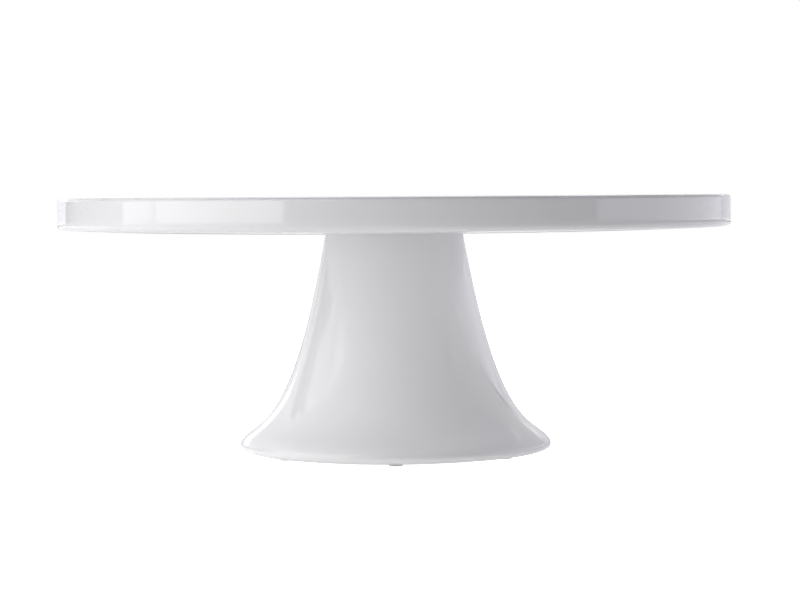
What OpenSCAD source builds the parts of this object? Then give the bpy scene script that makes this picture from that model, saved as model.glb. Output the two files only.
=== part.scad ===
// Round glazed porcelain cake stand: a flat plate on a flared, hollow pedestal, held by one screw from inside.
// The stand rests on z = 0, centred on the Z axis. All sizes are in millimetres.

/* [Plate] */
// Diameter of the plate
plate_d = 300; // [240:5:330]
// Height of the plate's upright rim
rim_h = 14; // [12:0.5:20]
// How much deeper the plate is at its centre than at its rim
centre_drop = 1.8; // [0.6:0.2:4]
// Rounding of the rim's top edge
rim_top_r = 1.6; // [0.6:0.2:3]
// Rounding of the rim's bottom edge
rim_bottom_r = 2.6; // [1:0.2:4]

/* [Pedestal] */
// Height of the pedestal alone
pedestal_h = 98.7; // [90:0.5:140]
// Diameter of the neck, where the pedestal meets the plate
neck_d = 62; // [56:1:80]
// Diameter of the foot at its widest
foot_d = 139.6; // [120:0.5:170]
// Lean of the wall away from upright at the neck, in degrees
neck_lean = 9.9; // [6:0.5:14]
// How far the neck's lean pulls the wall's curve down
neck_pull = 91.6; // [70:0.5:98]
// How far the foot's slope pulls the wall's curve up
foot_pull = 12.2; // [6:0.2:20]
// Thickness of the pedestal's wall
wall_t = 4.8; // [4:0.2:7]
// Thickness of the deck that closes the pedestal's top
deck_t = 9.5; // [7:0.5:14]

/* [Fixing] */
// Thread diameter of the clamp screw
thread_d = 6; // [5:1:8]
// How far the screw enters the threaded insert
screw_grip = 7.2; // [6:0.2:8]
// Diameter of the clamp screw's knob
knob_d = 26; // [22:1:30]
// Height of the knob
knob_h = 12; // [10:0.5:16]
// Number of finger hollows round the knob
knob_hollows = 8; // [6:1:10]

/* [Soft parts] */
// Thickness of the gasket between the plate and the pedestal
gasket_t = 1; // [0.8:0.1:1.5]
// Gap left showing between the plate and the pedestal
seat_gap = 0.3; // [0.2:0.05:0.6]
// Diameter of each foot pad
pad_d = 6; // [4:0.5:6.5]
// Thickness of each foot pad
pad_t = 0.8; // [0.6:0.1:1.5]
// Number of foot pads
pad_count = 6; // [3:1:8]

/* [Hidden] */
$fn = 96;
// Heights, from the ground up
neck_z = pad_t + pedestal_h;
plate_under_z = neck_z + seat_gap;
rim_bottom_z = plate_under_z + centre_drop;
plate_top_z = rim_bottom_z + rim_h;
deck_under_z = neck_z - deck_t;
gasket_z = plate_under_z - gasket_t;

// Plate
plate_r = plate_d / 2;
land_r = neck_d / 2 + 3;
under_steps = 16;

// Pedestal's outside: lip, then one cubic curve up to the neck
neck_r = neck_d / 2;
foot_r = foot_d / 2;
lip_h = 3.7;
lip_top_r = 3.3;
lip_under_run = 11;
lip_turn = 35;
neck_round = 1;
neck_start = [neck_r, neck_z - neck_round];
lip_end = [foot_r - lip_top_r + lip_top_r * cos(lip_turn), pad_t + lip_h + lip_top_r * sin(lip_turn)];
neck_handle = neck_start + neck_pull * [sin(neck_lean), -cos(neck_lean)];
lip_handle = lip_end + foot_pull * [-sin(lip_turn), cos(lip_turn)];

// Pedestal's inside: the same curve moved in by the wall's thickness
ring_outer_r = foot_r - lip_under_run;
ring_width = 8.5;
ring_inner_r = ring_outer_r - ring_width;
ring_round = 1.5;
deck_round = 4;
inner_shift = [-0.92 * wall_t, 0.12 * wall_t];
inner_start = [neck_r - wall_t + (deck_t + deck_round) * tan(neck_lean), deck_under_z - deck_round];
inner_end = [ring_inner_r, pad_t + ring_round];
wall_steps = 30;
inner_steps = 20;
arc_steps = 6;

// Fixing, all on the Z axis
thread_r = thread_d / 2;
running_gap = 0.05;
loose_gap = 0.3;
deck_hole_r = thread_r + 1;
gasket_outer_r = neck_r - 3;
gasket_inner_r = 10;
cushion_t = 2;
cushion_outer_r = 13;
washer_t = 1.5;
washer_outer_r = 12;
cushion_z = deck_under_z - cushion_t;
washer_z = cushion_z - washer_t;
knob_z = washer_z - knob_h;
screw_tip_z = plate_under_z + screw_grip;
stud_sunk = 8;
stud_z = washer_z - stud_sunk;
tip_clearance = 0.6;
insert_end_t = 1.2;
insert_r = thread_r + 2.8;
insert_top_z = screw_tip_z + tip_clearance + insert_end_t;
insert_groove_r = insert_r - 0.5;
cement_t = 1;
cement_end_t = 0.4;
socket_r = insert_r + cement_t;
socket_top_z = insert_top_z + cement_end_t;
pad_ring_r = (ring_outer_r + ring_inner_r + ring_round) / 2;
knob_r = knob_d / 2;
knob_edge = 1.5;
hollow_r = 3;
hollow_bite = 1.6;

// A point on the cubic curve with the four control points p
function curve_point(p, t) =
    pow(1 - t, 3) * p[0] + 3 * pow(1 - t, 2) * t * p[1] + 3 * (1 - t) * t * t * p[2] + pow(t, 3) * p[3];

// Points along part of an ellipse round centre c, from angle a0 to angle a1
function sweep(c, rx, ry, a0, a1, steps) =
    [for (i = [0:steps]) let (a = a0 + (a1 - a0) * i / steps) c + [rx * cos(a), ry * sin(a)]];

// Height of the plate's underside at radius r: level under the neck, then rising ever faster to the rim
function underside_z(r) =
    plate_under_z + centre_drop * pow((r - land_r) / (plate_r - rim_bottom_r - land_r), 3);

// A flat ring standing on z
module ring(outer_r, inner_r, z, t) {
    translate([0, 0, z])
        difference() {
            cylinder(r = outer_r, h = t);
            translate([0, 0, -1]) cylinder(r = inner_r, h = t + 2);
        }
}

// Plate: flat top, upright rim with rounded edges, and a blind socket for the insert
module plate() {
    run = plate_r - rim_bottom_r - land_r;
    rim_tilt = atan(3 * centre_drop / run);
    outline = concat(
        [[0, plate_under_z], [0, plate_top_z]],
        sweep([plate_r - rim_top_r, plate_top_z - rim_top_r], rim_top_r, rim_top_r, 90, 0, arc_steps),
        sweep([plate_r - rim_bottom_r, rim_bottom_z + rim_bottom_r], rim_bottom_r, rim_bottom_r,
              0, rim_tilt - 90, arc_steps),
        [for (i = [1:under_steps]) let (r = land_r + run * (1 - i / under_steps)) [r, underside_z(r)]]
    );
    color("white")
        difference() {
            rotate_extrude() polygon(outline);
            translate([0, 0, plate_under_z - 1]) cylinder(r = socket_r, h = socket_top_z - plate_under_z + 1);
        }
}

// Cement that holds the insert: a cup filling the gap between it and the socket
module insert_cement() {
    color("gainsboro")
        difference() {
            translate([0, 0, plate_under_z]) cylinder(r = socket_r, h = socket_top_z - plate_under_z);
            translate([0, 0, plate_under_z - 1]) cylinder(r = insert_r, h = insert_top_z - plate_under_z + 1);
        }
}

// Threaded insert: a blind brass bush with two grooves that the cement grips
module threaded_insert() {
    groove_t = 1.2;
    groove_step = 3;
    mouth_chamfer = 0.6;
    color("goldenrod")
        difference() {
            translate([0, 0, plate_under_z]) cylinder(r = insert_r, h = insert_top_z - plate_under_z);
            translate([0, 0, plate_under_z - 1])
                cylinder(r = thread_r + running_gap, h = screw_tip_z + tip_clearance - plate_under_z + 1);
            translate([0, 0, plate_under_z - 0.01])
                cylinder(r1 = thread_r + running_gap + mouth_chamfer, r2 = thread_r + running_gap,
                         h = mouth_chamfer);
            for (i = [1:2])
                ring(insert_r + 1, insert_groove_r, plate_under_z + groove_step * i - groove_t / 2, groove_t);
        }
}

// Gasket: a soft flat ring in the recess of the pedestal's top
module seat_gasket() {
    color("whitesmoke") ring(gasket_outer_r, gasket_inner_r, gasket_z, gasket_t);
}

// Pedestal: one hollow bell, with a deck across its neck and a level ring to stand on
module pedestal() {
    outside = concat(
        sweep([foot_r - lip_under_run, pad_t + lip_h], lip_under_run, lip_h, -90, 0, arc_steps),
        sweep([foot_r - lip_top_r, pad_t + lip_h], lip_top_r, lip_top_r, lip_turn / 3, lip_turn, 2),
        [for (i = [1:wall_steps]) curve_point([lip_end, lip_handle, neck_handle, neck_start], i / wall_steps)],
        sweep([neck_r - neck_round, neck_z - neck_round], neck_round, neck_round, 22.5, 90, 3)
    );
    inside = concat(
        sweep([inner_start[0] - deck_round, inner_start[1]], deck_round, deck_round, 90, 0, arc_steps),
        [for (i = [1:inner_steps]) curve_point([inner_start, neck_handle + inner_shift,
                                                lip_handle + inner_shift, inner_end], i / inner_steps)],
        sweep([ring_inner_r + ring_round, pad_t + ring_round], ring_round, ring_round, 210, 270, 2)
    );
    recess_wall = 0.3;
    color("white")
        difference() {
            rotate_extrude()
                polygon(concat(outside, [[0, neck_z], [0, deck_under_z]], inside));
            translate([0, 0, gasket_z]) cylinder(r = gasket_outer_r + recess_wall, h = gasket_t + 1);
            translate([0, 0, deck_under_z - 1]) cylinder(r = deck_hole_r, h = deck_t + 2);
        }
}

// Cushion washer: rubber, so that the steel never bears on the porcelain
module cushion_washer() {
    color("dimgray") ring(cushion_outer_r, thread_r + loose_gap, cushion_z, cushion_t);
}

// Steel washer: spreads the knob's force over the cushion
module steel_washer() {
    color("silver") ring(washer_outer_r, thread_r + loose_gap, washer_z, washer_t);
}

// Clamp screw's stud, with a chamfered tip
module screw_stud() {
    tip_chamfer = 1;
    color("lightsteelblue") {
        translate([0, 0, stud_z]) cylinder(r = thread_r, h = screw_tip_z - tip_chamfer - stud_z);
        translate([0, 0, screw_tip_z - tip_chamfer])
            cylinder(r1 = thread_r, r2 = thread_r - tip_chamfer, h = tip_chamfer);
    }
}

// Knob moulded on the stud: a round boss with finger hollows and rounded edges
module screw_knob() {
    shoulder_t = 1.5;
    shoulder_r = knob_r - 3;
    body_top = knob_h - shoulder_t;
    color("white")
        translate([0, 0, knob_z])
            difference() {
                rotate_extrude()
                    polygon(concat(
                        [[0, 0]],
                        sweep([knob_r - knob_edge, knob_edge], knob_edge, knob_edge, -90, 0, arc_steps),
                        sweep([knob_r - knob_edge, body_top - knob_edge], knob_edge, knob_edge, 0, 90, arc_steps),
                        [[shoulder_r, body_top], [shoulder_r, knob_h], [0, knob_h]]
                    ));
                for (i = [0:knob_hollows - 1])
                    rotate([0, 0, i * 360 / knob_hollows])
                        translate([knob_r + hollow_r - hollow_bite, 0, -1]) cylinder(r = hollow_r, h = body_top + 1);
                translate([0, 0, knob_h - stud_sunk]) cylinder(r = thread_r, h = stud_sunk + 1);
            }
}

// Foot pads: clear dots spaced evenly round the standing ring
module foot_pads() {
    color("gainsboro")
        for (i = [0:pad_count - 1])
            rotate([0, 0, (i + 0.5) * 360 / pad_count])
                translate([pad_ring_r, 0, 0]) cylinder(d = pad_d, h = pad_t);
}

plate();
insert_cement();
threaded_insert();
seat_gasket();
pedestal();
cushion_washer();
steel_washer();
screw_stud();
screw_knob();
foot_pads();
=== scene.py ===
"""A round porcelain cake stand: plate, hollow pedestal and the hidden screw that holds them together.

Every piece is turned, thrown or moulded the way the real one is: round pieces are lathed from an
outline, the knob's hollows are pressed into a round blank, and the threads are cut as helices.
All sizes are in metres and come from the CAD frame's boxes wherever the frame has them.
"""

import logging
import math
from collections.abc import Callable
from dataclasses import dataclass, field
from enum import Enum

import bmesh
import bpy
from mathutils import Matrix, Vector


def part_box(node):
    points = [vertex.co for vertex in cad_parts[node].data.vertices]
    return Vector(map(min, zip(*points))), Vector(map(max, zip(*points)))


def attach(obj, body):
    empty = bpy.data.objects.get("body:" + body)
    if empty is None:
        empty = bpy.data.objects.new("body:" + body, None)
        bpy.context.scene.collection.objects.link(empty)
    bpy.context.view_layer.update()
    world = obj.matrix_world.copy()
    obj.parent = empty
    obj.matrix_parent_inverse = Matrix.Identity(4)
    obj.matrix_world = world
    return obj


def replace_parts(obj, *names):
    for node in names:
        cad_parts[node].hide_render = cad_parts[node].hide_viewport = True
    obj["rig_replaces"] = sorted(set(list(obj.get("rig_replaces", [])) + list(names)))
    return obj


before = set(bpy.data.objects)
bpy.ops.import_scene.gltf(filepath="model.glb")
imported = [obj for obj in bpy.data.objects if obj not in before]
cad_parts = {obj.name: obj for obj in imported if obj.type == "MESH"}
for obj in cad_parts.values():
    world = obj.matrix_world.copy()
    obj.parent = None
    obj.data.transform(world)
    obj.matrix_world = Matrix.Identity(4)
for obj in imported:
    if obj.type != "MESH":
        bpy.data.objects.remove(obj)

LOG = logging.getLogger("cake_stand")
MM = 0.001
HAIR = 0.001 * MM
Point = tuple[float, float]
Colour = tuple[float, float, float]


class Slot(Enum):
    """The record's material slots."""

    PORCELAIN = "glazed_porcelain"
    CEMENT = "bonding_cement"
    BRASS = "insert_brass"
    GASKET = "gasket_silicone"
    RUBBER = "washer_rubber"
    STEEL = "plated_steel"
    NYLON = "knob_nylon"
    PAD = "pad_silicone"


class Body(Enum):
    """The bodies that pieces ride on."""

    BASE = "base"
    TOP = "top"
    WASHERS = "washers"
    SCREW = "screw"


class Spin(Enum):
    """How finely a round piece is turned."""

    BROAD = 256
    SMALL = 96
    TINY = 40


# --------------------------------------------------------------------------------------------------
# Outlines and lathe work
# --------------------------------------------------------------------------------------------------


@dataclass
class Outline:
    """A lathe outline in radius and height, traced point by point.

    Attributes:
        points: The outline so far, as (radius, height) pairs.
    """

    points: list[Point] = field(default_factory=list)

    def to(self, radius: float, height: float) -> "Outline":
        """Adds one corner."""
        self.points.append((radius, height))
        return self

    def across(self, radius: float, height: float, steps: int) -> "Outline":
        """Adds a straight stretch from the last point in equal steps.

        Args:
            radius: Radius where the stretch ends.
            height: Height where the stretch ends.
            steps: How many equal lengths it is cut into.

        Returns:
            The same outline, so that calls can follow one another.
        """
        r0, h0 = self.points[-1]
        for i in range(1, steps + 1):
            t = i / steps
            self.to(r0 + (radius - r0) * t, h0 + (height - h0) * t)
        return self

    def arc(self, centre: Point, run: float, rise: float, start: float, end: float, steps: int) -> "Outline":
        """Adds part of an ellipse.

        Args:
            centre: The ellipse's centre.
            run: Its half-width along the radius.
            rise: Its half-height.
            start: Angle of the first point, in degrees from straight outwards.
            end: Angle of the last point.
            steps: How many lengths the arc is cut into.

        Returns:
            The same outline.
        """
        for i in range(steps + 1):
            a = math.radians(start + (end - start) * i / steps)
            self.to(centre[0] + run * math.cos(a), centre[1] + rise * math.sin(a))
        return self

    def curve(self, p0: Point, p1: Point, p2: Point, p3: Point, steps: int) -> "Outline":
        """Adds a cubic curve without its first point.

        Args:
            p0: Where the curve starts.
            p1: Handle that p0 leaves towards.
            p2: Handle that p3 is reached from.
            p3: Where the curve ends.
            steps: How many lengths the curve is cut into.

        Returns:
            The same outline.
        """
        for i in range(1, steps + 1):
            t = i / steps
            u = 1 - t
            w = (u * u * u, 3 * u * u * t, 3 * u * t * t, t * t * t)
            ends = (p0, p1, p2, p3)
            self.to(sum(a * p[0] for a, p in zip(w, ends)), sum(a * p[1] for a, p in zip(w, ends)))
        return self


class Lathe:
    """Turns outlines into closed round meshes and hangs them on the frame."""

    @staticmethod
    def turn(mesh: bmesh.types.BMesh, outline: Outline, steps: int, closed: bool) -> None:
        """Spins an outline a full turn about the stand's axis.

        Args:
            mesh: The mesh that receives the faces.
            outline: The outline to spin.
            steps: How many steps the turn takes.
            closed: True where the outline's last point joins its first.
        """
        verts = [mesh.verts.new((r, 0.0, z)) for r, z in outline.points]
        pairs = list(zip(verts, verts[1:]))
        if closed:
            pairs.append((verts[-1], verts[0]))
        edges = [mesh.edges.new(p) for p in pairs]
        bmesh.ops.spin(
            mesh, geom=verts + edges, cent=(0, 0, 0), axis=(0, 0, 1), dvec=(0, 0, 0),
            angle=math.tau, steps=steps, use_merge=True, use_normal_flip=False, use_duplicate=False,
        )

    @staticmethod
    def close(mesh: bmesh.types.BMesh, gap: float = HAIR) -> None:
        """Merges doubles, drops slivers and points the faces outwards.

        Args:
            mesh: The mesh to close.
            gap: Longest edge that counts as a sliver, and furthest apart that two doubles lie.
        """
        bmesh.ops.remove_doubles(mesh, verts=mesh.verts, dist=gap)
        bmesh.ops.dissolve_degenerate(mesh, edges=mesh.edges, dist=gap)
        bmesh.ops.recalc_face_normals(mesh, faces=mesh.faces)

    @staticmethod
    def finish(
        mesh: bmesh.types.BMesh, name: str, body: Body, slot: Slot, nodes: tuple[str, ...],
        materials: list[bpy.types.Material],
    ) -> bpy.types.Object:
        """Makes an object of a mesh, shades it smooth and hangs it on its body.

        Args:
            mesh: The finished mesh, in the frame's own place.
            name: The piece's name.
            body: The body it moves with.
            slot: The record's slot for its finish; not used.
            nodes: The CAD nodes that it stands for.
            materials: Its materials, the main one first.

        Returns:
            The new object.
        """
        for face in mesh.faces:
            face.smooth = True
        data = bpy.data.meshes.new(name)
        mesh.to_mesh(data)
        mesh.free()
        for material in materials:
            data.materials.append(material)
        piece = bpy.data.objects.new(name, data)
        bpy.context.scene.collection.objects.link(piece)
        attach(piece, body.value)
        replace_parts(piece, *nodes)
        LOG.info("%s: %d faces on %s", name, len(data.polygons), body.value)
        return piece


# --------------------------------------------------------------------------------------------------
# Finishes
# --------------------------------------------------------------------------------------------------


class Graph:
    """A small helper that lays out one material's nodes.

    Attributes:
        material: The material being made.
        surface: Its main shader node.
        place: The output socket with the piece's own coordinates, in metres.
    """

    def __init__(self, name: str) -> None:
        """Starts a material with one main shader and the piece's own coordinates."""
        self.material = bpy.data.materials.new(name)
        self.material.use_nodes = True
        self.tree = self.material.node_tree
        self.surface = self.tree.nodes["Principled BSDF"]
        self.place = self.tree.nodes.new("ShaderNodeTexCoord").outputs["Object"]

    def set(self, **values: object) -> None:
        """Sets the main shader's own sockets, named with underscores for spaces."""
        for key, value in values.items():
            self.surface.inputs[key.replace("_", " ")].default_value = value

    def add(self, kind: str, **values: object) -> bpy.types.Node:
        """Adds a node and sets its properties or, where it has none of that name, its sockets.

        Args:
            kind: The node's type.
            **values: Property or socket names and their values.

        Returns:
            The new node.
        """
        node = self.tree.nodes.new(kind)
        for key, value in values.items():
            if hasattr(node, key):
                setattr(node, key, value)
            else:
                node.inputs[key.replace("_", " ")].default_value = value
        return node

    def join(self, source: bpy.types.NodeSocket, node: bpy.types.Node, socket: str | int) -> None:
        """Links an output to a node's input."""
        self.tree.links.new(source, node.inputs[socket])

    def noise(self, size: float, detail: float = 2.0, rough: float = 0.5) -> bpy.types.NodeSocket:
        """Adds a cloudy pattern on the piece's coordinates.

        Args:
            size: The pattern's grain in metres.
            detail: How many finer layers it has.
            rough: How strong those layers are.

        Returns:
            The pattern's output, from 0 to 1.
        """
        node = self.add("ShaderNodeTexNoise", Scale=1.0 / size, Detail=detail, Roughness=rough)
        self.join(self.place, node, "Vector")
        return node.outputs["Fac"]

    def remap(self, source: bpy.types.NodeSocket, low: float, high: float, to_low: float, to_high: float
              ) -> bpy.types.NodeSocket:
        """Stretches a pattern from one range to another and holds it there.

        Args:
            source: The pattern.
            low: Value that becomes to_low.
            high: Value that becomes to_high.
            to_low: Start of the new range.
            to_high: End of the new range.

        Returns:
            The stretched pattern.
        """
        node = self.tree.nodes.new("ShaderNodeMapRange")
        self.join(source, node, "Value")
        for key, value in zip(("From Min", "From Max", "To Min", "To Max"), (low, high, to_low, to_high)):
            node.inputs[key].default_value = value
        return node.outputs["Result"]

    def blend(self, factor: bpy.types.NodeSocket, first: tuple, second: tuple) -> bpy.types.NodeSocket:
        """Mixes two colours by a pattern."""
        node = self.add("ShaderNodeMix", data_type="RGBA")
        self.join(factor, node, 0)
        node.inputs[6].default_value = (*first, 1.0)
        node.inputs[7].default_value = (*second, 1.0)
        return node.outputs[2]

    def bump(self, layers: list[tuple[bpy.types.NodeSocket, float]]) -> bpy.types.NodeSocket:
        """Stacks height patterns into one surface relief.

        Args:
            layers: Each pattern with its height in metres.

        Returns:
            The normal output of the last layer.
        """
        last = None
        for pattern, height in layers:
            node = self.add("ShaderNodeBump", Strength=1.0, Distance=height)
            self.join(pattern, node, "Height")
            if last is not None:
                self.join(last, node, "Normal")
            last = node.outputs["Normal"]
        return last

    def rings(self, pitch: float) -> bpy.types.NodeSocket:
        """Adds fine turning marks round the stand's axis, one every pitch metres of radius."""
        node = self.add(
            "ShaderNodeTexWave", wave_type="RINGS", rings_direction="Z", Scale=1.0 / pitch / math.tau,
            Distortion=0.6, Detail=1.5, Detail_Scale=0.4,
        )
        self.join(self.place, node, "Vector")
        return node.outputs["Fac"]


@dataclass(frozen=True)
class Glaze:
    """Clear glossy glaze over white porcelain, with the faint ripple and pin marks that firing leaves.

    Attributes:
        white: Colour of the body seen through the glaze.
        shade: The same, where the glaze lies a little thicker.
        ripple: Height of the slow ripple in the glaze.
        peel: Height of its fine orange-peel grain.
        pin_spacing: Usual distance between pin marks.
        pin_depth: Depth of a pin mark.
        roughness: Range of its roughness.
    """

    white: Colour = (0.86, 0.86, 0.864)
    shade: Colour = (0.842, 0.842, 0.852)
    ripple: float = 0.0001
    peel: float = 0.000003
    pin_spacing: float = 0.011
    pin_depth: float = 0.00002
    roughness: tuple[float, float] = (0.055, 0.09)

    def make(self) -> bpy.types.Material:
        """Builds the material."""
        g = Graph("glazed_porcelain")
        g.set(IOR=1.5, Subsurface_Weight=0.06, Subsurface_Radius=(1.0, 1.0, 1.1), Subsurface_Scale=0.0012)
        cloud = g.noise(0.035, 3.0)
        g.join(g.blend(cloud, self.white, self.shade), g.surface, "Base Color")
        pins = g.add("ShaderNodeTexVoronoi", feature="F1", Scale=1.0 / self.pin_spacing)
        g.join(g.place, pins, "Vector")
        pin = g.remap(pins.outputs["Distance"], 0.0, 0.02, 0.0, 1.0)
        g.join(g.remap(g.noise(0.012, 2.0), 0.3, 0.7, *self.roughness), g.surface, "Roughness")
        ripple, peel = g.noise(0.045, 1.0), g.noise(0.0022, 2.0)
        layers = [(ripple, self.ripple), (peel, self.peel), (pin, self.pin_depth)]
        g.join(g.bump(layers), g.surface, "Normal")
        return g.material


@dataclass(frozen=True)
class BarePorcelain:
    """The standing ring, ground level after firing: dry, pale and finely scratched.

    Attributes:
        body: Colour of the bare clay.
        stain: Colour of the faint marks it picks up in use.
    """

    body: Colour = (0.78, 0.765, 0.735)
    stain: Colour = (0.6, 0.58, 0.545)

    def make(self) -> bpy.types.Material:
        """Builds the material."""
        g = Graph("bare_porcelain")
        g.set(Roughness=0.75, IOR=1.45)
        marks = g.remap(g.noise(0.006, 4.0, 0.65), 0.55, 0.8, 0.0, 1.0)
        g.join(g.blend(marks, self.body, self.stain), g.surface, "Base Color")
        g.join(g.remap(g.noise(0.0015), 0.3, 0.7, 0.62, 0.85), g.surface, "Roughness")
        g.join(g.bump([(g.noise(0.0005, 3.0), 0.00004), (g.rings(0.0007), 0.00002)]), g.surface, "Normal")
        return g.material


@dataclass(frozen=True)
class TurnedMetal:
    """Bar-turned metal with fine tool marks round its axis.

    Attributes:
        name: The material's name.
        bright: Colour of the clean metal.
        dull: Colour where it has been handled or has tarnished.
        roughness: Range of its roughness.
        mark_pitch: Distance between tool marks.
    """

    name: str
    bright: Colour
    dull: Colour
    roughness: tuple[float, float]
    mark_pitch: float = 0.0004

    def make(self) -> bpy.types.Material:
        """Builds the material."""
        g = Graph(self.name)
        g.set(Metallic=1.0)
        g.join(g.blend(g.remap(g.noise(0.004, 4.0, 0.6), 0.4, 0.7, 0.0, 1.0), self.bright, self.dull),
               g.surface, "Base Color")
        g.join(g.remap(g.noise(0.002, 3.0), 0.3, 0.7, *self.roughness), g.surface, "Roughness")
        g.join(g.bump([(g.rings(self.mark_pitch), 0.000006), (g.noise(0.0006, 2.0), 0.000008)]),
               g.surface, "Normal")
        return g.material


@dataclass(frozen=True)
class SoftRubber:
    """Moulded rubber or silicone with a fine dull grain.

    Attributes:
        name: The material's name.
        tone: Its colour.
        bloom: Colour of the pale dust on it.
        clear: Share of light that passes through, 0 for solid rubber.
        roughness: Range of its roughness.
    """

    name: str
    tone: Colour
    bloom: Colour
    clear: float
    roughness: tuple[float, float]

    def make(self) -> bpy.types.Material:
        """Builds the material."""
        g = Graph(self.name)
        g.set(IOR=1.41, Transmission_Weight=self.clear, Subsurface_Weight=0.2 if self.clear else 0.0,
              Subsurface_Radius=(1.0, 1.0, 1.0), Subsurface_Scale=0.001)
        dust = g.remap(g.noise(0.003, 5.0, 0.7), 0.52, 0.8, 0.0, 1.0)
        g.join(g.blend(dust, self.tone, self.bloom), g.surface, "Base Color")
        g.join(g.remap(g.noise(0.0012, 2.0), 0.3, 0.7, *self.roughness), g.surface, "Roughness")
        g.join(g.bump([(g.noise(0.0004, 3.0), 0.00002)]), g.surface, "Normal")
        return g.material


@dataclass(frozen=True)
class MouldedNylon:
    """White nylon from a spark-etched mould: an even fine grain and a faint handling sheen.

    Attributes:
        tone: Its colour.
        worn: Colour where fingers have polished it.
    """

    tone: Colour = (0.8, 0.795, 0.77)
    worn: Colour = (0.74, 0.73, 0.7)

    def make(self) -> bpy.types.Material:
        """Builds the material."""
        g = Graph("knob_nylon")
        g.set(IOR=1.53, Subsurface_Weight=0.1, Subsurface_Radius=(1.0, 1.0, 0.9), Subsurface_Scale=0.001)
        g.join(g.blend(g.noise(0.006, 3.0), self.tone, self.worn), g.surface, "Base Color")
        g.join(g.remap(g.noise(0.004, 3.0), 0.3, 0.7, 0.38, 0.55), g.surface, "Roughness")
        g.join(g.bump([(g.noise(0.00035, 2.0), 0.00003)]), g.surface, "Normal")
        return g.material


@dataclass(frozen=True)
class SetCement:
    """Two-part cement, set hard: grey, gritty and matt.

    Attributes:
        paste: Its main colour.
        grit: Colour of its filler.
    """

    paste: Colour = (0.62, 0.6, 0.56)
    grit: Colour = (0.42, 0.4, 0.37)

    def make(self) -> bpy.types.Material:
        """Builds the material."""
        g = Graph("bonding_cement")
        g.set(Roughness=0.9, IOR=1.5)
        g.join(g.blend(g.remap(g.noise(0.0007, 4.0, 0.7), 0.5, 0.72, 0.0, 1.0), self.paste, self.grit),
               g.surface, "Base Color")
        g.join(g.remap(g.noise(0.001), 0.3, 0.7, 0.8, 0.95), g.surface, "Roughness")
        g.join(g.bump([(g.noise(0.0008, 5.0, 0.7), 0.0001)]), g.surface, "Normal")
        return g.material


@dataclass
class Finishes:
    """All the materials, made once and shared.

    Attributes:
        glaze: For the plate and the pedestal.
        bare: For the standing ring.
        cement: For the cup round the insert.
        brass: For the insert.
        steel: For the washer and the stud.
        rubber: For the cushion washer.
        gasket: For the seat gasket.
        pad: For the foot pads.
        nylon: For the knob.
    """

    glaze: bpy.types.Material
    bare: bpy.types.Material
    cement: bpy.types.Material
    brass: bpy.types.Material
    steel: bpy.types.Material
    rubber: bpy.types.Material
    gasket: bpy.types.Material
    pad: bpy.types.Material
    nylon: bpy.types.Material

    @classmethod
    def mix(cls) -> "Finishes":
        """Makes every material."""
        return cls(
            glaze=Glaze().make(),
            bare=BarePorcelain().make(),
            cement=SetCement().make(),
            brass=TurnedMetal("insert_brass", (0.82, 0.62, 0.27), (0.6, 0.42, 0.17), (0.22, 0.38)).make(),
            steel=TurnedMetal("plated_steel", (0.72, 0.74, 0.77), (0.55, 0.56, 0.58), (0.18, 0.34)).make(),
            rubber=SoftRubber(
                "washer_rubber", (0.025, 0.025, 0.027), (0.09, 0.09, 0.088),
                clear=0.0, roughness=(0.5, 0.75),
            ).make(),
            gasket=SoftRubber(
                "gasket_silicone", (0.8, 0.81, 0.82), (0.7, 0.71, 0.72),
                clear=0.35, roughness=(0.3, 0.45),
            ).make(),
            pad=SoftRubber(
                "pad_silicone", (0.93, 0.94, 0.94), (0.86, 0.87, 0.87),
                clear=0.15, roughness=(0.2, 0.35),
            ).make(),
            nylon=MouldedNylon().make(),
        )


# --------------------------------------------------------------------------------------------------
# Pieces
# --------------------------------------------------------------------------------------------------


def span(node: str) -> tuple[float, float]:
    """The heights of a CAD node's lowest and highest points."""
    low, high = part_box(node)
    return low.z, high.z


def reach(node: str) -> float:
    """A round CAD node's radius, to the nearest twentieth of a millimetre."""
    low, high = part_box(node)
    widest = max(high.x, high.y, -low.x, -low.y)
    return round(widest / MM * 20) / 20 * MM


def ring_outline(inner: float, outer: float, low: float, high: float, edge: float) -> Outline:
    """A flat ring's closed outline with four rounded edges.

    Args:
        inner: Radius of its hole.
        outer: Its outer radius.
        low: Height of its underside.
        high: Height of its top.
        edge: Rounding of its edges.

    Returns:
        The outline, to be turned closed.
    """
    corners = (
        (outer, low, -90, -1, 1), (outer, high, 0, -1, -1),
        (inner, high, 90, 1, -1), (inner, low, 180, 1, 1),
    )
    outline = Outline()
    for radius, height, start, inwards, upwards in corners:
        centre = (radius + inwards * edge, height + upwards * edge)
        outline.arc(centre, edge, edge, start, start + 90, 4)
    return outline


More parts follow.
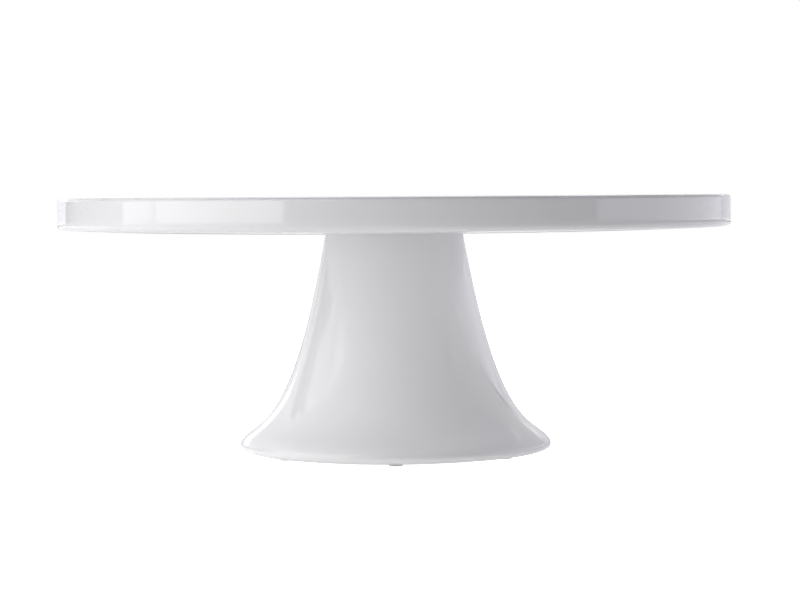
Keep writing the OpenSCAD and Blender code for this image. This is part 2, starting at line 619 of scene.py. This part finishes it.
@dataclass
class Thread:
    """A standard coarse thread, cut as a helix round the stand's axis.

    Attributes:
        crest: The screw's outer radius.
        pitch: Distance between turns.
        datum: Height where a groove starts, the same for the screw and its insert.
        ease: How much further out the surface lies, to leave room between screw and insert.
        facets: How many steps a turn takes.
        depth_share: Depth of a standard thread, as a share of its pitch.
        flank_share: Height of one sloping flank, as a share of the pitch.
        root_share: Height of the flat at the root, as a share of the pitch.
    """

    crest: float
    pitch: float
    datum: float
    ease: float = 0.0
    facets: int = 40
    depth_share: float = 0.6134
    flank_share: float = 0.354
    root_share: float = 0.167

    def cut(self, mesh: bmesh.types.BMesh, low: float, high: float) -> None:
        """Sweeps the thread's flanks between two heights and trims both ends level.

        Args:
            mesh: The mesh that receives the thread, open at both ends.
            low: Height of the lower end.
            high: Height of the upper end.
        """
        depth, flank = self.depth_share * self.pitch, self.flank_share * self.pitch
        flat = self.root_share * self.pitch
        outer = self.crest + self.ease
        turns_below = math.floor((low - self.datum) / self.pitch) - 1
        start = self.datum + turns_below * self.pitch
        turns = math.ceil((high - start) / self.pitch) + 1
        trace = [(outer - depth, 0.0), (outer - depth, flat), (outer, flat + flank),
                 (outer, self.pitch - flank), (outer - depth, self.pitch)]
        verts = [mesh.verts.new((r, 0.0, start + z)) for r, z in trace]
        edges = [mesh.edges.new(pair) for pair in zip(verts, verts[1:])]
        steps = turns * self.facets
        bmesh.ops.spin(
            mesh, geom=verts + edges, cent=(0, 0, 0), axis=(0, 0, 1), dvec=(0, 0, self.pitch / self.facets),
            angle=math.tau * turns, steps=steps, use_merge=False, use_normal_flip=False, use_duplicate=False,
        )
        bmesh.ops.remove_doubles(mesh, verts=mesh.verts, dist=5 * HAIR)
        for height, direction in ((low, -1), (high, 1)):
            bmesh.ops.bisect_plane(
                mesh, geom=mesh.verts[:] + mesh.edges[:] + mesh.faces[:], plane_co=(0, 0, height),
                plane_no=(0, 0, direction), clear_outer=True, clear_inner=False, dist=1e-8,
            )


def rim_edges(mesh: bmesh.types.BMesh, height: float) -> list[bmesh.types.BMEdge]:
    """The open edges that lie at one height."""
    return [e for e in mesh.edges if e.is_boundary and all(abs(v.co.z - height) < HAIR for v in e.verts)]


def hold_inside(mesh: bmesh.types.BMesh, radius_at: Callable[[float], float]) -> None:
    """Moves in every vertex that stands further from the axis than radius_at(height) allows."""
    for v in mesh.verts:
        r, limit = math.hypot(v.co.x, v.co.y), radius_at(v.co.z)
        if r > limit > 0:
            v.co.x *= limit / r
            v.co.y *= limit / r


@dataclass
class Plate:
    """The round plate with its insert and the cement that holds it.

    Attributes:
        rim_height: Height of the upright rim.
        top_round: Rounding of the rim's top edge.
        bottom_round: Rounding of the rim's bottom edge.
        land: Radius of the level middle of the underside.
        mouth_round: Rounding of the socket's mouth.
        bore: Radius of the screw's thread.
        pitch: The thread's pitch.
        sag: How far the cement's mouth is drawn in.
        insert_cap: Thickness of brass over the insert's blind bore.
        groove: Depth of the insert's gripping grooves.
        groove_half: Half the width of a groove.
        groove_spacing: Distance between grooves, and from the lower one to the insert's mouth.
        top_bevel: Bevel of the insert's top edge.
        mouth_bevel: Bevel of the insert's mouth.
        thread_ease: Room between the stud's thread and the insert's.
    """

    rim_height: float = 14.0 * MM
    top_round: float = 1.6 * MM
    bottom_round: float = 2.6 * MM
    land: float = 34.0 * MM
    mouth_round: float = 0.15 * MM
    bore: float = 3.0 * MM
    pitch: float = 1.0 * MM
    sag: float = 0.25 * MM
    insert_cap: float = 1.2 * MM
    groove: float = 0.5 * MM
    groove_half: float = 0.6 * MM
    groove_spacing: float = 3.0 * MM
    top_bevel: float = 0.3 * MM
    mouth_bevel: float = 0.2 * MM
    thread_ease: float = 0.08 * MM

    def build(self, finishes: Finishes) -> list[bpy.types.Object]:
        """Makes the plate, the cement and the insert."""
        return [self.disc(finishes), self.cement(finishes), self.insert(finishes)]

    def disc(self, finishes: Finishes) -> bpy.types.Object:
        """Turns the plate: flat top, upright rim, gently crowned underside and blind socket."""
        under, top = span("plate")
        radius, socket = reach("plate"), reach("insert_cement")
        socket_top = span("insert_cement")[1]
        rim_low = top - self.rim_height
        edge = radius - self.bottom_round
        run = edge - self.land
        tilt = math.degrees(math.atan(3 * (rim_low - under) / run))
        flat = radius - self.top_round
        outline = Outline().to(0.0, top).across(flat - 8 * MM, top, 7).across(flat, top, 4)
        outline.arc((flat, top - self.top_round), self.top_round, self.top_round, 90, 0, 10)
        outline.across(radius, rim_low + self.bottom_round, 5)
        corner = (edge, rim_low + self.bottom_round)
        outline.arc(corner, self.bottom_round, self.bottom_round, 0, tilt - 90, 10)
        steps = 30
        for i in range(1, steps + 1):
            share = 1 - i / steps
            outline.to(self.land + run * share, under + (rim_low - under) * share ** 3)
        outline.across(socket + self.mouth_round, under, 6)
        mouth = (socket + self.mouth_round, under + self.mouth_round)
        outline.arc(mouth, self.mouth_round, self.mouth_round, -90, -180, 3)
        outline.to(socket, socket_top).to(0.0, socket_top)
        mesh = bmesh.new()
        Lathe.turn(mesh, outline, Spin.BROAD.value, closed=False)
        Lathe.close(mesh)
        return Lathe.finish(mesh, "porcelain_plate", Body.TOP, Slot.PORCELAIN, ("plate",), [finishes.glaze])

    def cement(self, finishes: Finishes) -> bpy.types.Object:
        """Turns the cement cup and leaves its mouth a little hollow and uneven, as cement sets."""
        low, high = span("insert_cement")
        inner, outer = reach("threaded_insert"), reach("insert_cement")
        insert_top = span("threaded_insert")[1]
        outline = Outline().to(0.0, high).across(outer, high, 3).across(outer, low, 6)
        outline.across(inner, low, 4).across(inner, insert_top, 6).to(0.0, insert_top)
        mesh = bmesh.new()
        Lathe.turn(mesh, outline, Spin.SMALL.value, closed=False)
        Lathe.close(mesh)
        middle = (inner + outer) / 2
        for v in mesh.verts:
            off_edge = 1 - abs(math.hypot(v.co.x, v.co.y) - middle) / (outer - middle)
            if v.co.z < low + HAIR and off_edge > 0.1:
                turn = math.atan2(v.co.y, v.co.x)
                v.co.z += self.sag * off_edge * (1 + 0.4 * math.sin(3 * turn) + 0.3 * math.sin(7 * turn + 1))
        return Lathe.finish(mesh, "insert_cement_cup", Body.TOP, Slot.CEMENT, ("insert_cement",),
                            [finishes.cement])

    def insert(self, finishes: Finishes) -> bpy.types.Object:
        """Turns the blind brass bush, grooves it, and cuts the thread inside."""
        low, high = span("threaded_insert")
        outer = reach("threaded_insert")
        bore_top = high - self.insert_cap
        mesh = bmesh.new()
        Thread(self.bore, self.pitch, low, ease=self.thread_ease).cut(mesh, low, bore_top)
        bmesh.ops.triangle_fill(mesh, edges=rim_edges(mesh, bore_top), use_beauty=True, use_dissolve=False)
        outline = Outline().to(0.0, high).to(outer - self.top_bevel, high).to(outer, high - self.top_bevel)
        for i in (2, 1):
            centre = low + i * self.groove_spacing
            groove_top, groove_low = centre + self.groove_half, centre - self.groove_half
            outline.to(outer, groove_top).to(outer - self.groove, groove_top)
            outline.to(outer - self.groove, groove_low).to(outer, groove_low)
        outline.to(outer, low + self.mouth_bevel).to(outer - self.mouth_bevel, low)
        Lathe.turn(mesh, outline, Spin.SMALL.value, closed=False)
        bmesh.ops.remove_doubles(mesh, verts=mesh.verts, dist=HAIR)
        bmesh.ops.triangle_fill(mesh, edges=rim_edges(mesh, low), use_beauty=True, use_dissolve=False)
        Lathe.close(mesh)
        return Lathe.finish(mesh, "brass_insert", Body.TOP, Slot.BRASS, ("threaded_insert",),
                            [finishes.brass])


@dataclass
class Pedestal:
    """The hollow pedestal with its seat gasket and foot pads.

    Attributes:
        lean: Lean of the wall away from upright at the neck, in degrees.
        neck_pull: How far the neck's lean pulls the wall's curve down.
        foot_pull: How far the foot's slope pulls the wall's curve up.
        lip_turn: Slope where the lip meets the wall, in degrees round the lip.
        lip_round: Rounding of the lip's upper side.
        lip_run: How far the lip's underside reaches in.
        lip_height: Height of the widest point over the standing ring.
        proud: How far the bare ring stands below the glaze.
        ring_width: Width of the standing ring.
        wall: Thickness of the wall.
        inner_shift: How far in and up the inside's curve handles lie from the outside's, in walls.
        deck: Thickness of the deck under the seat.
        deck_round: Rounding between the deck and the wall, inside.
        hole: Radius of the screw's hole in the deck.
        hole_round: Rounding of that hole's edges.
        seat_margin: How far the neck's top reaches past the gasket.
        neck_round: Rounding of the neck's top edge.
        ring_round: Rounding of the standing ring's inner edge.
        gasket_hole: Radius of the gasket's hole.
        gasket_edge: Rounding of the gasket's edges.
        pads: Number of foot pads.
        pad_radius: A pad's radius.
        pad_edge: Rounding of a pad's edge.
    """

    lean: float = 9.9
    neck_pull: float = 91.6 * MM
    foot_pull: float = 12.2 * MM
    lip_turn: float = 35.0
    lip_round: float = 3.3 * MM
    lip_run: float = 11.0 * MM
    lip_height: float = 3.7 * MM
    proud: float = 0.3 * MM
    ring_width: float = 8.5 * MM
    wall: float = 4.8 * MM
    inner_shift: tuple[float, float] = (-0.92, 0.12)
    deck: float = 9.5 * MM
    deck_round: float = 4.0 * MM
    hole: float = 4.0 * MM
    hole_round: float = 0.4 * MM
    seat_margin: float = 3.0 * MM
    neck_round: float = 1.0 * MM
    ring_round: float = 1.5 * MM
    gasket_hole: float = 10.0 * MM
    gasket_edge: float = 0.25 * MM
    pads: int = 6
    pad_radius: float = 3.0 * MM
    pad_edge: float = 0.3 * MM

    def build(self, finishes: Finishes) -> list[bpy.types.Object]:
        """Makes the pedestal, its gasket and its pads."""
        return [self.bell(finishes), self.gasket(finishes), self.foot_pads(finishes)]

    def outline(self) -> Outline:
        """Traces the wall from the standing ring up the outside, over the seat and down the inside."""
        low, neck = span("pedestal")
        foot, neck_radius = reach("pedestal"), reach("seat_gasket") + self.seat_margin
        turn, lean = math.radians(self.lip_turn), math.radians(self.lean)
        lip_z, ring_out = low + self.lip_height, foot - self.lip_run
        ring_in, edge = ring_out - self.ring_width, self.neck_round
        lip_middle = foot - self.lip_round
        lip_end = (lip_middle + self.lip_round * math.cos(turn), lip_z + self.lip_round * math.sin(turn))
        lip_pull = (lip_end[0] - self.foot_pull * math.sin(turn),
                    lip_end[1] + self.foot_pull * math.cos(turn))
        top = (neck_radius, neck - edge)
        top_pull = (top[0] + self.neck_pull * math.sin(lean), top[1] - self.neck_pull * math.cos(lean))
        outline = Outline().to(ring_out - self.proud, low).to(ring_out, low + self.proud)
        outline.arc((ring_out, lip_z), self.lip_run, self.lip_height - self.proud, -88, -4, 18)
        outline.arc((lip_middle, lip_z), self.lip_round, self.lip_round, 0, self.lip_turn, 6)
        outline.curve(lip_end, lip_pull, top_pull, top, 64)
        outline.arc((neck_radius - edge, neck - edge), edge, edge, self.lean, 90, 6)
        self.trace_seat(outline, neck)
        deck_low, shift = neck - self.deck, [share * self.wall for share in self.inner_shift]
        soft = self.hole_round
        outline.arc((self.hole + soft, deck_low + soft), soft, soft, 180, 270, 3)
        inner_top = (neck_radius - self.wall + (self.deck + self.deck_round) * math.tan(lean),
                     deck_low - self.deck_round)
        round_middle = inner_top[0] - self.deck_round
        outline.across(round_middle - 1 * MM, deck_low, 6)
        outline.arc((round_middle, inner_top[1]), self.deck_round, self.deck_round, 90, 0, 8)
        ring_middle = (ring_in + self.ring_round, low + self.ring_round)
        outline.curve(inner_top, (top_pull[0] + shift[0], top_pull[1] + shift[1]),
                      (lip_pull[0] + shift[0], lip_pull[1] + shift[1]), (ring_in, ring_middle[1]), 44)
        outline.arc(ring_middle, self.ring_round, self.ring_round - self.proud, 200, 262, 4)
        return outline.to(ring_middle[0] + self.proud, low)

    def trace_seat(self, outline: Outline, neck: float) -> None:
        """Adds the neck's top: a narrow rim, the gasket's recess, and the screw's hole with eased edges.

        Args:
            outline: The pedestal's outline, traced as far as the neck's top edge.
            neck: Height of the neck's top.
        """
        ease, soft = 0.3 * MM, self.hole_round
        recess_wall, floor = reach("seat_gasket") + ease, span("seat_gasket")[0]
        outline.arc((recess_wall + ease, neck - ease), ease, ease, 90, 180, 3)
        outline.arc((recess_wall - ease, floor + ease), ease, ease, 0, -90, 3)
        outline.across(self.hole + soft, floor, 8)
        outline.arc((self.hole + soft, floor - soft), soft, soft, 90, 180, 3)

    def bell(self, finishes: Finishes) -> bpy.types.Object:
        """Turns the pedestal, and leaves its standing ring bare of glaze."""
        mesh = bmesh.new()
        Lathe.turn(mesh, self.outline(), Spin.BROAD.value, closed=True)
        Lathe.close(mesh)
        bare_below = span("pedestal")[0] + self.proud * 0.75
        for face in mesh.faces:
            face.material_index = int(face.calc_center_median().z < bare_below)
        return Lathe.finish(mesh, "porcelain_pedestal", Body.BASE, Slot.PORCELAIN, ("pedestal",),
                            [finishes.glaze, finishes.bare])

    def gasket(self, finishes: Finishes) -> bpy.types.Object:
        """Turns the soft ring that the plate sits on."""
        low, high = span("seat_gasket")
        mesh = bmesh.new()
        outline = ring_outline(self.gasket_hole, reach("seat_gasket"), low, high, self.gasket_edge)
        Lathe.turn(mesh, outline, Spin.SMALL.value, closed=True)
        Lathe.close(mesh)
        return Lathe.finish(mesh, "silicone_seat_gasket", Body.BASE, Slot.GASKET, ("seat_gasket",),
                            [finishes.gasket])

    def foot_pads(self, finishes: Finishes) -> bpy.types.Object:
        """Moulds one low dome and sets a copy at each pad's place round the ring."""
        low, high = span("foot_pads")
        size, soft = self.pad_radius, self.pad_edge
        ring = reach("foot_pads") - size
        mesh = bmesh.new()
        for i in range(self.pads):
            outline = Outline().to(0.0, low).across(size - 1.5 * soft, low, 3)
            outline.arc((size - soft, low + soft), soft, soft, -90, 60, 6)
            outline.to(size - 0.35 * MM, high).across(0.0, high, 3)
            before = set(mesh.verts)
            Lathe.turn(mesh, outline, Spin.TINY.value, closed=False)
            pad = [v for v in mesh.verts if v not in before]
            turn = Matrix.Rotation(math.tau * (i + 0.5) / self.pads, 4, "Z")
            bmesh.ops.transform(mesh, matrix=turn @ Matrix.Translation((ring, 0, 0)), verts=pad)
        Lathe.close(mesh)
        return Lathe.finish(mesh, "silicone_foot_pads", Body.BASE, Slot.PAD, ("foot_pads",),
                            [finishes.pad])


@dataclass
class ClampScrew:
    """The knob and its stud, and the two washers that ride on them.

    Attributes:
        thread: Radius over the stud's thread.
        pitch: The thread's pitch.
        slack: Room between the washers and the stud.
        tip: Height of the stud's chamfered tip.
        radius: The knob's radius before its hollows are pressed in.
        soft: Rounding of its edges.
        collar: Radius of the collar on its top.
        collar_height: Height of the collar.
        bevel: Bevel of the collar's edges and of the gate mark.
        hold: How deep the stud sits in the knob.
        dish: Depth of the shallow dish under it.
        dish_radius: Radius of the dish.
        gate: Radius of the gate mark in the dish.
        hollows: Number of finger hollows round the knob.
        bite: Depth of the finger hollows.
        hollow_reach: Radius inside which the hollows leave the knob alone.
    """

    thread: float = 3.0 * MM
    pitch: float = 1.0 * MM
    slack: float = 0.3 * MM
    tip: float = 1.0 * MM
    radius: float = 13.0 * MM
    soft: float = 1.5 * MM
    collar: float = 10.0 * MM
    collar_height: float = 1.5 * MM
    bevel: float = 0.3 * MM
    hold: float = 8.0 * MM
    dish: float = 0.8 * MM
    dish_radius: float = 7.0 * MM
    gate: float = 1.2 * MM
    hollows: int = 8
    bite: float = 1.6 * MM
    hollow_reach: float = 8.0 * MM

    def build(self, finishes: Finishes) -> list[bpy.types.Object]:
        """Makes the washers, the stud and the knob."""
        return [self.cushion(finishes), self.washer(finishes), self.stud(finishes), self.knob(finishes)]

    def cushion(self, finishes: Finishes) -> bpy.types.Object:
        """Turns the rubber cushion washer."""
        mesh = bmesh.new()
        inner, outer = self.thread + self.slack, reach("cushion_washer")
        outline = ring_outline(inner, outer, *span("cushion_washer"), edge=0.3 * MM)
        Lathe.turn(mesh, outline, Spin.SMALL.value, closed=True)
        Lathe.close(mesh)
        return Lathe.finish(mesh, "rubber_cushion_washer", Body.WASHERS, Slot.RUBBER, ("cushion_washer",),
                            [finishes.rubber])

    def washer(self, finishes: Finishes) -> bpy.types.Object:
        """Turns the stamped steel washer."""
        mesh = bmesh.new()
        inner, outer = self.thread + self.slack, reach("steel_washer")
        outline = ring_outline(inner, outer, *span("steel_washer"), edge=0.2 * MM)
        Lathe.turn(mesh, outline, Spin.SMALL.value, closed=True)
        Lathe.close(mesh)
        return Lathe.finish(mesh, "steel_washer_plate", Body.WASHERS, Slot.STEEL, ("steel_washer",),
                            [finishes.steel])

    def stud(self, finishes: Finishes) -> bpy.types.Object:
        """Cuts the stud's thread, trims it to length and chamfers its tip."""
        low, high = span("screw_stud")
        datum = span("threaded_insert")[0]
        mesh = bmesh.new()
        Thread(self.thread - 0.03 * MM, self.pitch, datum).cut(mesh, low, high)
        for height in (low, high):
            bmesh.ops.triangle_fill(mesh, edges=rim_edges(mesh, height), use_beauty=True, use_dissolve=False)
        hold_inside(mesh, lambda z: self.thread - 0.1 * MM - max(0.0, z - (high - self.tip)) * 0.9)
        Lathe.close(mesh)
        return Lathe.finish(mesh, "steel_stud", Body.SCREW, Slot.STEEL, ("screw_stud",), [finishes.steel])

    def knob(self, finishes: Finishes) -> bpy.types.Object:
        """Turns the knob's blank, presses in its finger hollows and sinks the gate mark under it."""
        low, high = span("screw_knob")
        radius, soft, collar, bevel = self.radius, self.soft, self.collar, self.bevel
        body_top, dish_top = high - self.collar_height, low + self.dish
        outline = Outline().to(0.0, dish_top - bevel).to(self.gate, dish_top - bevel)
        outline.to(self.gate + bevel, dish_top).across(self.dish_radius - self.dish, dish_top, 4)
        outline.arc((self.dish_radius - self.dish, low), self.dish, self.dish, 75, 15, 4)
        outline.across(radius - soft - bevel, low, 3)
        outline.arc((radius - soft, low + soft), soft, soft, -90, 0, 8)
        outline.across(radius, body_top - soft, 6)
        outline.arc((radius - soft, body_top - soft), soft, soft, 0, 90, 8)
        outline.to(collar + bevel, body_top).to(collar, body_top + bevel)
        outline.to(collar, high - bevel).to(collar - bevel, high)
        outline.to(self.thread, high).to(self.thread, high - self.hold).to(0.0, high - self.hold)
        mesh = bmesh.new()
        Lathe.turn(mesh, outline, self.hollows * 24, closed=False)
        Lathe.close(mesh)
        self.press_hollows(mesh, body_top)
        return Lathe.finish(mesh, "moulded_knob", Body.SCREW, Slot.NYLON, ("screw_knob",),
                            [finishes.nylon])

    def press_hollows(self, mesh: bmesh.types.BMesh, below: float) -> None:
        """Presses the finger hollows into the knob's round blank.

        Args:
            mesh: The blank.
            below: Height of the knob's shoulder, above which it stays round.
        """
        for v in mesh.verts:
            r = math.hypot(v.co.x, v.co.y)
            if r > self.hollow_reach and v.co.z < below + HAIR:
                wave = 0.5 + 0.5 * math.cos(self.hollows * math.atan2(v.co.y, v.co.x))
                share = min(1.0, (r - self.hollow_reach) / (self.radius - self.hollow_reach))
                scale = 1 - self.bite * wave ** 1.4 * share ** 1.5 / r
                v.co.x *= scale
                v.co.y *= scale


# --------------------------------------------------------------------------------------------------
# Studio
# --------------------------------------------------------------------------------------------------


@dataclass(frozen=True)
class Softbox:
    """One flat soft light that faces the stand.

    Attributes:
        name: What the light is for.
        azimuth: Where its middle stands, in degrees: 0 beside the camera, 90 at its right.
        spread: How wide it is as seen from the stand, in degrees.
        low: Height of its lower edge over the plate, in degrees.
        high: Height of its upper edge, in degrees.
        brightness: Its power, in watts for each square metre.
        tint: Its colour.
    """

    name: str
    azimuth: float
    spread: float
    low: float
    high: float
    brightness: float
    tint: Colour = (1.0, 1.0, 1.0)

    def hang(self, target: Vector, distance: float) -> bpy.types.Object:
        """Puts the light in the scene, facing the target.

        Args:
            target: The point that it faces.
            distance: How far off it stands.

        Returns:
            The light's object.
        """
        turn, lift = math.radians(self.azimuth), math.radians((self.low + self.high) / 2)
        data = bpy.data.lights.new(self.name, "AREA")
        data.shape = "RECTANGLE"
        data.size = 2 * distance * math.cos(lift) * math.tan(math.radians(self.spread / 2))
        data.size_y = 2 * distance * math.tan(math.radians((self.high - self.low) / 2))
        data.energy = self.brightness * data.size * data.size_y
        data.color = self.tint
        away = Vector((math.sin(turn) * math.cos(lift), -math.cos(turn) * math.cos(lift), math.sin(lift)))
        light = bpy.data.objects.new(self.name, data)
        light.location = target + away * distance
        light.rotation_mode = "QUATERNION"
        light.rotation_quaternion = away.to_track_quat("Z", "Y")
        light.visible_camera = False
        bpy.context.scene.collection.objects.link(light)
        return light


@dataclass
class Studio:
    """A white table in a white room, with large soft lights round the stand.

    Attributes:
        table: Half-width of the table.
        glow: Brightness that the table gives off by itself.
        bleach: Extra brightness that the table is seen with.
        distance: How far off the lights stand.
        boxes: The soft lights.
    """

    table: float = 6.0
    glow: float = 0.26
    bleach: float = 0.8
    distance: float = 1.6
    boxes: tuple[Softbox, ...] = (
        Softbox("key", -58, 48, -1.5, 14, 8.5, (1.0, 1.0, 0.96)),
        Softbox("key_upper", -62, 38, 14, 34, 6.6),
        Softbox("key_right", -30, 30, 14, 34, 4.9, (0.96, 0.94, 1.0)),
        Softbox("key_left", -96, 30, 14, 34, 3.6),
        Softbox("key_edge", -90, 15, -1.5, 14, 6.0),
        Softbox("left_top", -67.5, 90, 34, 60, 4.3, (0.94, 0.94, 1.0)),
        Softbox("backdrop", 180, 75, -1.5, 14, 2.95, (0.94, 0.95, 1.0)),
        Softbox("backdrop_left", -147, 36, 5, 34, 2.8, (0.94, 0.95, 1.0)),
        Softbox("back_middle", 180, 30, 14, 34, 4.5),
        Softbox("back_top", -157.5, 90, 34, 60, 3.5),
        Softbox("right", 105, 75, -1.5, 14, 4.2, (0.93, 0.93, 1.0)),
        Softbox("right_upper", 120, 90, 14, 34, 2.4),
        Softbox("right_top", 112.5, 90, 34, 60, 2.2, (0.9, 0.85, 1.0)),
    )

    def build(self) -> None:
        """Makes the table, the room and the lights."""
        self.lay_table()
        self.paint_room()
        target = Vector((0, 0, span("plate")[0]))
        for box in self.boxes:
            box.hang(target, self.distance)

    def lay_table(self) -> None:
        """Lays the white table that the stand is on."""
        mesh = bmesh.new()
        bmesh.ops.create_grid(mesh, x_segments=1, y_segments=1, size=self.table)
        data = bpy.data.meshes.new("table")
        mesh.to_mesh(data)
        mesh.free()
        g = Graph("white_table")
        g.set(Base_Color=(0.9, 0.9, 0.9, 1.0), Roughness=0.8, Emission_Color=(1.0, 1.0, 1.0, 1.0))
        seen = g.add("ShaderNodeLightPath").outputs["Is Camera Ray"]
        g.join(g.remap(seen, 0.0, 1.0, self.glow, self.glow + self.bleach), g.surface, "Emission Strength")
        data.materials.append(g.material)
        table = bpy.data.objects.new("table", data)
        bpy.context.scene.collection.objects.link(table)

    @staticmethod
    def paint_room() -> None:
        """Makes the room plain white to look at but dark as a light, so that the boxes light the stand."""
        world = bpy.data.worlds.new("room")
        world.use_nodes = True
        bpy.context.scene.world = world
        nodes, links = world.node_tree.nodes, world.node_tree.links
        seen, ray = nodes["Background"], nodes.new("ShaderNodeLightPath")
        seen.inputs["Color"].default_value = (1.0, 1.0, 1.0, 1.0)
        links.new(ray.outputs["Is Camera Ray"], seen.inputs["Strength"])


@dataclass
class Camera:
    """A long lens close to the plate's own level.

    Attributes:
        distance: From the stand's axis to the lens.
        over_plate: Height of the lens over the plate's top.
        lens: Focal length in millimetres on a 36 mm sensor.
        pan: Turn to the right, in radians.
        tip: Tip downwards, in radians.
        roll: Roll about the line of sight, in radians.
    """

    distance: float = 1.2
    over_plate: float = 1.5 * MM
    lens: float = 120.34
    pan: float = 0.002
    tip: float = 0.040
    roll: float = -0.007

    def build(self) -> bpy.types.Object:
        """Sets up the camera and makes it the scene's own."""
        data = bpy.data.cameras.new("camera")
        data.lens, data.sensor_width = self.lens, 36.0
        data.clip_start, data.clip_end = 0.05, 50.0
        camera = bpy.data.objects.new("camera", data)
        bpy.context.scene.collection.objects.link(camera)
        forward = Vector((math.sin(self.pan) * math.cos(self.tip), math.cos(self.pan) * math.cos(self.tip),
                          -math.sin(self.tip)))
        right = Vector((math.cos(self.pan), -math.sin(self.pan), 0.0))
        up = right.cross(forward)
        level = Matrix((right, up, -forward)).transposed()
        turn = level @ Matrix.Rotation(self.roll, 3, "Z")
        camera.matrix_world = Matrix.Translation((0, -self.distance, span("plate")[1] + self.over_plate)
                                                 ) @ turn.to_4x4()
        bpy.context.scene.camera = camera
        return camera


def main() -> None:
    """Builds the camera, the studio and every piece, and reports each."""
    logging.basicConfig(level=logging.INFO, format="%(name)s: %(message)s")
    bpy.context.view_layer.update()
    Camera().build()
    Studio().build()
    bpy.context.scene.view_settings.view_transform = "Standard"
    finishes = Finishes.mix()
    for assembly in (Plate(), Pedestal(), ClampScrew()):
        for piece in assembly.build(finishes):
            LOG.info("%s stands for %s", piece.name, ", ".join(piece["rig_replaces"]))


if __name__ == "__main__":
    main()
